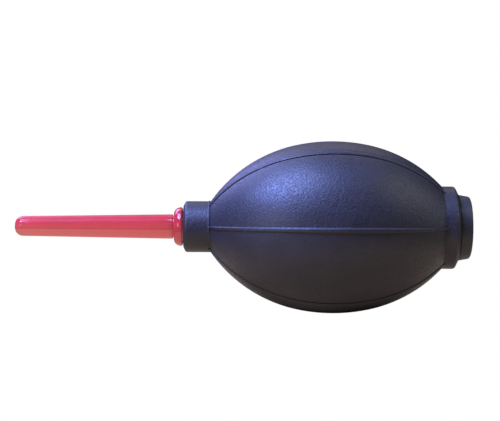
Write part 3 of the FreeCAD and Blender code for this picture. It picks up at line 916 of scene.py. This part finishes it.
def studio_floor():
    """White floor just under the bulb, whose painted bounce is a ring of light round a painted dark core
    of shadow.
    """
    half, level = FLOOR_HALF, -BULB_RADIUS - RIB_HEIGHT - FLOOR_GAP
    verts = [(-half, -half, level), (half, -half, level), (half, half, level), (-half, half, level)]
    floor = new_object("floor", verts, [[0, 1, 2, 3]])
    n = Nodes("floor_paper")
    away = n.add("ShaderNodeVectorMath", operation="DISTANCE")
    away.inputs[1].default_value = (SHADOW_X * MM, 0, level * MM)
    n.link(n.place, away.inputs[0])
    reach = FLOOR_LIGHT[-1][0]
    share = n.between(away.outputs["Value"], 0.0, 1.0, from_high=reach * MM)
    ring = n.profile(share, [(distance / reach, strength) for distance, strength in FLOOR_LIGHT])
    squashed = n.add("ShaderNodeVectorMath", operation="MULTIPLY")
    squashed.inputs[1].default_value = (1 / CORE_STRETCH, 1, 0)
    n.link(n.place, squashed.inputs[0])
    beside = n.add("ShaderNodeVectorMath", operation="LENGTH")
    n.link(squashed.outputs["Vector"], beside.inputs[0])
    inner, outer = CORE_EDGE
    outside_core = n.between(beside.outputs["Value"], 0.0, 1.0, inner * MM, outer * MM)
    # painted shadow: the painted ring of light, dimmed over the dark core under the bulb
    light = n.add("ShaderNodeMath", operation="MULTIPLY")
    n.link(ring, light.inputs[0])
    n.link(outside_core, light.inputs[1])
    bounce = n.add("ShaderNodeEmission")
    bounce.inputs["Color"].default_value = (*BOUNCE_PAINT_COLOR, 1)
    n.link(light.outputs[0], bounce.inputs["Strength"])
    white = n.add("ShaderNodeEmission")
    mix = n.add("ShaderNodeMixShader")
    n.link(n.add("ShaderNodeLightPath").outputs["Is Camera Ray"], mix.inputs[0])
    n.link(bounce.outputs[0], mix.inputs[1])
    n.link(white.outputs[0], mix.inputs[2])
    n.link(mix.outputs[0], n.tree.nodes["Material Output"].inputs["Surface"])
    floor.data.materials.append(n.material)


def studio_world():
    """White to the camera and dark to everything else, so that it doesn't light the object."""
    world = bpy.data.worlds.new("studio")
    bpy.context.scene.world = world
    world.use_nodes = True
    tree = world.node_tree
    room = tree.nodes["Background"]
    room.inputs["Strength"].default_value = 0.0
    white = tree.nodes.new("ShaderNodeBackground")
    white.inputs["Color"].default_value = (1, 1, 1, 1)
    path = tree.nodes.new("ShaderNodeLightPath")
    mix = tree.nodes.new("ShaderNodeMixShader")
    tree.links.new(path.outputs["Is Camera Ray"], mix.inputs[0])
    tree.links.new(room.outputs[0], mix.inputs[1])
    tree.links.new(white.outputs[0], mix.inputs[2])
    tree.links.new(mix.outputs[0], tree.nodes["World Output"].inputs["Surface"])


def softbox(name, place, width, depth, power, color):
    """A soft light that faces the bulb."""
    data = bpy.data.lights.new(name, "AREA")
    data.shape = "RECTANGLE"
    data.size, data.size_y = width, depth
    data.energy = power
    data.color = color
    lamp = bpy.data.objects.new(name, data)
    lamp.location = place
    lamp.rotation_euler = (-Vector(place)).to_track_quat("-Z", "Y").to_euler()
    lamp.visible_camera = False
    bpy.context.scene.collection.objects.link(lamp)


def camera():
    """Looks along +Y from just above the bulb's axis, aimed near the middle of the whole blower."""
    distance, pitch, roll = 0.5068, math.radians(1.6), math.radians(0.24)
    aim = Vector((-0.0288, 0, 0.00572))
    back = Vector((0, -math.cos(pitch), math.sin(pitch)))
    data = bpy.data.cameras.new("camera")
    data.sensor_width = 36.0
    data.lens = 104.45
    eye = bpy.data.objects.new("camera", data)
    eye.location = aim + back * distance
    eye.rotation_mode = "QUATERNION"
    eye.rotation_quaternion = (-back).to_track_quat("-Z", "Y") @ Quaternion((0, 0, 1), roll)
    bpy.context.scene.collection.objects.link(eye)
    bpy.context.scene.camera = eye


# name, place, width, depth, power, colour
SOFTBOXES = (
    ("key", (-0.22, -0.16, 0.42), 0.3, 0.3, 8.1, (0.29, 0.39, 1.0)),
    ("glint", (-0.3, -0.2, 0.35), 0.03, 0.03, 1.9, (0.2, 0.28, 1.0)),
    ("top_left", (-0.3, 0.3, 0.35), 0.3, 0.3, 2.4, (0.38, 0.41, 1.0)),
    ("top", (0.0, 0.3, 0.4), 0.4, 0.3, 0.36, (1.0, 0.87, 0.42)),
    ("top_right", (0.36, -0.1, 0.36), 0.3, 0.3, 0.55, (1.0, 1.0, 0.67)),
    ("right", (0.5, 0.0, 0.15), 0.3, 0.3, 0.5, (0.57, 0.62, 1.0)),
    ("front_left", (-0.4, -0.4, 0.1), 0.3, 0.2, 1.0, (0.68, 0.7, 1.0)),
)

studio_floor()
studio_world()
for box in SOFTBOXES:
    softbox(*box)
camera()
bpy.context.scene.view_settings.view_transform = "Standard"
